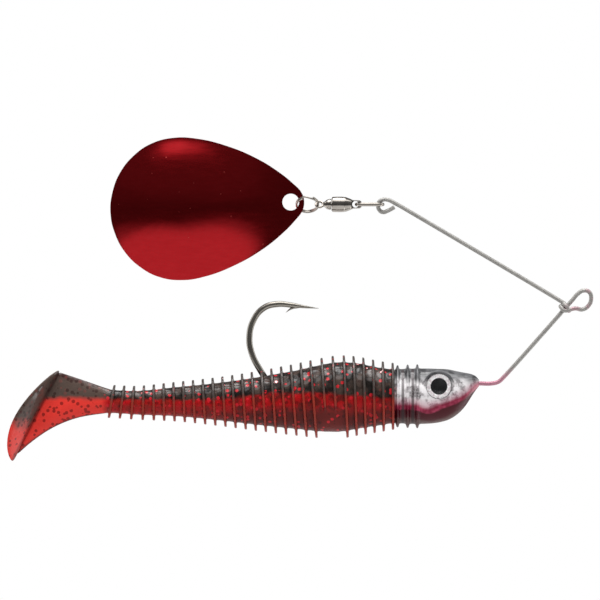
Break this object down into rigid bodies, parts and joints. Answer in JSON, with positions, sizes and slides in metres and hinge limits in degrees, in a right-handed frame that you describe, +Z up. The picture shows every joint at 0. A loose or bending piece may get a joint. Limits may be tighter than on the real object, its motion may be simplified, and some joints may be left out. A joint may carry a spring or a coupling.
{
  "type": "spinnerbait",
  "caption": "Fishing lure on a bent wire: cast head with hook and ribbed soft paddle-tail body below, cupped blade on a ball-bearing swivel above.",
  "frame": {"origin": "centre of the line tie, the loop in the wire's front corner", "axes": "+X forwards, past the nose; +Z up, from the head to the blade's arm; +Y across, away from the blade's convex side"},
  "size_m": [0.1395, 0.016, 0.0772],
  "materials": {
    "spring_wire": "bare drawn stainless spring wire",
    "black_nickel": "dark polished plating",
    "head_paint": "grey back, silver flake flanks and wine-red belly under clear gloss",
    "eye_foil": "silver foil with a black pupil",
    "clear_resin": "clear domed resin",
    "soft_plastic": "translucent soft plastic, smoke-black back over a red belly, with glitter",
    "bright_nickel": "bright nickel plate",
    "ball_steel": "polished",
    "candy_red": "clear red lacquer over polished metal"
  },
  "bodies": {
    "lure": {"wire_form": "spring_wire", "hook": "black_nickel", "head": "head_paint", "eye_foil_left": "eye_foil", "eye_foil_right": "eye_foil", "eye_lens_left": "clear_resin", "eye_lens_right": "clear_resin", "soft_body": "soft_plastic"},
    "tail": {"soft_tail": "soft_plastic"},
    "ring": {"arm_ring": "bright_nickel"},
    "barrel": {"swivel_barrel": "bright_nickel", "thrust_washer": "bright_nickel"},
    "balls": {"bearing_ball_1": "ball_steel", "bearing_ball_2": "ball_steel", "bearing_ball_3": "ball_steel", "bearing_ball_4": "ball_steel", "bearing_ball_5": "ball_steel", "bearing_ball_6": "ball_steel", "bearing_ball_7": "ball_steel"},
    "spindle": {"spindle": "bright_nickel"},
    "link": {"split_ring": "bright_nickel"},
    "blade": {"blade": "candy_red"}
  },
  "joints": [
    {"name": "tail_wag", "type": "hinge", "parent": "lure", "child": "tail", "pos_m": [-0.1139, 0, -0.0242], "axis": [0, 0, 1], "range_deg": [-30, 30], "stiffness_Nm_per_rad": 0.002},
    {"name": "ring_swing", "type": "hinge", "parent": "lure", "child": "ring", "pos_m": [-0.0485, 0, 0.02275], "axis": [0, 0, 1], "range_deg": [-35, 35]},
    {"name": "barrel_pitch", "type": "hinge", "parent": "ring", "child": "barrel", "pos_m": [-0.0539, 0, 0.02275], "axis": [0, 1, 0], "range_deg": [-14, 40]},
    {"name": "blade_spin", "type": "hinge", "parent": "barrel", "child": "spindle", "pos_m": [-0.0596, 0, 0.02275], "axis": [1, 0, 0], "continuous": true},
    {"name": "ball_roll", "type": "hinge", "parent": "barrel", "child": "balls", "pos_m": [-0.0596, 0, 0.02275], "axis": [1, 0, 0], "continuous": true},
    {"name": "link_swing", "type": "hinge", "parent": "spindle", "child": "link", "pos_m": [-0.06275, 0, 0.02275], "axis": [0, 0, 1], "range_deg": [-20, 20]},
    {"name": "blade_swing", "type": "hinge", "parent": "link", "child": "blade", "pos_m": [-0.06795, 0, 0.02275], "axis": [0, 0, 1], "range_deg": [-8, 14]}
  ],
  "couplings": [
    {"joint": "ball_roll", "follows": "blade_spin", "ratio": 0.5}
  ]
}
